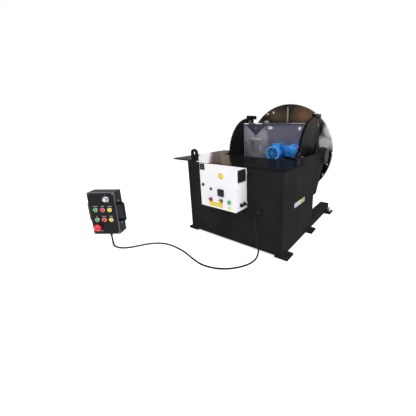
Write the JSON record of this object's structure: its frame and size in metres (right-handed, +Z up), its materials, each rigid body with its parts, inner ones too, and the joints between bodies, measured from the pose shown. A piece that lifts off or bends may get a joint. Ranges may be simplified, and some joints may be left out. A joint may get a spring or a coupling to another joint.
{
  "type": "welding positioner",
  "caption": "Floor-standing welding positioner with a geared tilting frame, a slotted rotary table, a wall-hung control cabinet and a wired push-button pendant.",
  "frame": {"origin": "on the floor at the centre of the four anchor holes of the base", "axes": "+Z up, +Y from the back of the base, which carries the cabinet, towards the table, +X to the right seen from behind"},
  "size_m": [1.6817, 2.0491, 1.295],
  "materials": {
    "black_paint": "gloss",
    "bright_steel": "satin",
    "grey_violet_paint": "satin",
    "light_rail_paint": "satin",
    "blue_paint": "gloss",
    "grey_paint": "satin",
    "copper_brush": "satin",
    "cabinet_paint": "satin",
    "dark_plastic": "matt",
    "door_label": "satin",
    "lamp_lens": "gloss",
    "case_black": "satin",
    "bezel_metal": "satin",
    "green_plastic": "gloss",
    "red_plastic": "gloss",
    "yellow_plastic": "gloss",
    "cable_rubber": "matt"
  },
  "bodies": {
    "base": {"rear_wall": "black_paint", "left_side_plate": "black_paint", "right_side_plate": "black_paint", "front_wall": "black_paint", "floor_plate": "black_paint", "deck_plate": "black_paint", "foot_pads": "black_paint", "front_legs": "black_paint", "levelling_feet": "bright_steel", "lifting_lugs": "black_paint", "trunnion_bearings": "black_paint", "pinion_bearings": "black_paint", "tilt_gearbox": "grey_paint", "tilt_motor": "grey_paint", "gearbox_stand": "black_paint", "tilt_limit_switch": "dark_plastic", "cabinet_shell": "cabinet_paint", "control_gear": "dark_plastic", "vent_grille": "dark_plastic", "cable_glands": "dark_plastic", "pendant_cable": "cable_rubber", "pendant_case": "case_black", "pendant_face": "case_black", "pendant_handles": "dark_plastic", "pendant_gland": "dark_plastic", "button_bezels": "bezel_metal", "switch_blocks": "dark_plastic"},
    "tilting_frame": {"left_sector": "black_paint", "right_sector": "black_paint", "trunnion_shafts": "bright_steel", "saddle_back_plate": "grey_violet_paint", "saddle_top_rail": "light_rail_paint", "saddle_front_plate": "black_paint", "sector_stops": "black_paint", "lifting_gusset": "grey_violet_paint", "access_covers": "grey_violet_paint", "slew_inner_ring": "bright_steel", "rotation_gearbox": "blue_paint", "rotation_motor": "blue_paint", "ground_brush": "copper_brush"},
    "table": {"slew_gear_ring": "bright_steel", "table_hub_ring": "bright_steel", "table_disc": "black_paint", "table_ribs": "black_paint"},
    "rotation_drive": {"rotation_pinion": "bright_steel"},
    "tilt_drive": {"tilt_shaft": "bright_steel"},
    "door": {"cabinet_door": "cabinet_paint", "pilot_lamps": "lamp_lens", "door_plates": "door_label"},
    "isolator": {"isolator_knob": "dark_plastic"},
    "lock": {"door_lock": "dark_plastic"},
    "start": {"start_button": "green_plastic"},
    "green_button_1_body": {"green_button_1": "green_plastic"},
    "red_button_1_body": {"red_button_1": "red_plastic"},
    "yellow_button_1_body": {"yellow_button_1": "yellow_plastic"},
    "green_button_2_body": {"green_button_2": "green_plastic"},
    "red_button_2_body": {"red_button_2": "red_plastic"},
    "yellow_button_2_body": {"yellow_button_2": "yellow_plastic"},
    "emergency_stop_body": {"emergency_stop": "red_plastic"},
    "speed_knob_body": {"speed_knob": "dark_plastic"}
  },
  "joints": [
    {"name": "table_tilt", "type": "hinge", "parent": "base", "child": "tilting_frame", "pos_m": [0, 0.568, 0.745], "axis": [1, 0, 0], "range_deg": [-30, 90]},
    {"name": "table_rotation", "type": "hinge", "parent": "tilting_frame", "child": "table", "pos_m": [0, 0.8, 0.745], "axis": [0, 1, 0], "continuous": true},
    {"name": "rotation_pinion_spin", "type": "hinge", "parent": "tilting_frame", "child": "rotation_drive", "pos_m": [0.28881, 0.75, 0.8], "axis": [0, 1, 0], "continuous": true},
    {"name": "tilt_shaft_spin", "type": "hinge", "parent": "base", "child": "tilt_drive", "pos_m": [0, 0.16501, 0.513], "axis": [1, 0, 0], "range_deg": [-470, 158]},
    {"name": "door_swing", "type": "hinge", "parent": "base", "child": "door", "pos_m": [0.196, -0.49, 0.56], "axis": [0, 0, 1], "range_deg": [0, 110]},
    {"name": "isolator_turn", "type": "hinge", "parent": "door", "child": "isolator", "pos_m": [0.036, -0.506, 0.534], "axis": [0, 1, 0], "range_deg": [0, 90]},
    {"name": "lock_turn", "type": "hinge", "parent": "door", "child": "lock", "pos_m": [-0.159, -0.506, 0.579], "axis": [0, 1, 0], "range_deg": [0, 90]},
    {"name": "start_press", "type": "slide", "parent": "door", "child": "start", "axis": [0, 1, 0], "range_m": [0, 0.004], "stiffness_N_per_m": 500},
    {"name": "green_button_1_press", "type": "slide", "parent": "base", "child": "green_button_1_body", "axis": [-0.5664, 0.8241, 0], "range_m": [0, 0.004], "stiffness_N_per_m": 500},
    {"name": "red_button_1_press", "type": "slide", "parent": "base", "child": "red_button_1_body", "axis": [-0.5664, 0.8241, 0], "range_m": [0, 0.004], "stiffness_N_per_m": 500},
    {"name": "yellow_button_1_press", "type": "slide", "parent": "base", "child": "yellow_button_1_body", "axis": [-0.5664, 0.8241, 0], "range_m": [0, 0.004], "stiffness_N_per_m": 500},
    {"name": "green_button_2_press", "type": "slide", "parent": "base", "child": "green_button_2_body", "axis": [-0.5664, 0.8241, 0], "range_m": [0, 0.004], "stiffness_N_per_m": 500},
    {"name": "red_button_2_press", "type": "slide", "parent": "base", "child": "red_button_2_body", "axis": [-0.5664, 0.8241, 0], "range_m": [0, 0.004], "stiffness_N_per_m": 500},
    {"name": "yellow_button_2_press", "type": "slide", "parent": "base", "child": "yellow_button_2_body", "axis": [-0.5664, 0.8241, 0], "range_m": [0, 0.004], "stiffness_N_per_m": 500},
    {"name": "emergency_stop_press", "type": "slide", "parent": "base", "child": "emergency_stop_body", "axis": [-0.5664, 0.8241, 0], "range_m": [0, 0.006], "stiffness_N_per_m": 800},
    {"name": "speed_knob_turn", "type": "hinge", "parent": "base", "child": "speed_knob_body", "pos_m": [-0.89039, -0.98621, 0.4435], "axis": [-0.5664, 0.8241, 0], "range_deg": [-150, 150]}
  ],
  "couplings": [
    {"joint": "rotation_pinion_spin", "follows": "table_rotation", "ratio": -4.4444},
    {"joint": "tilt_shaft_spin", "follows": "table_tilt", "ratio": -5.2}
  ]
}
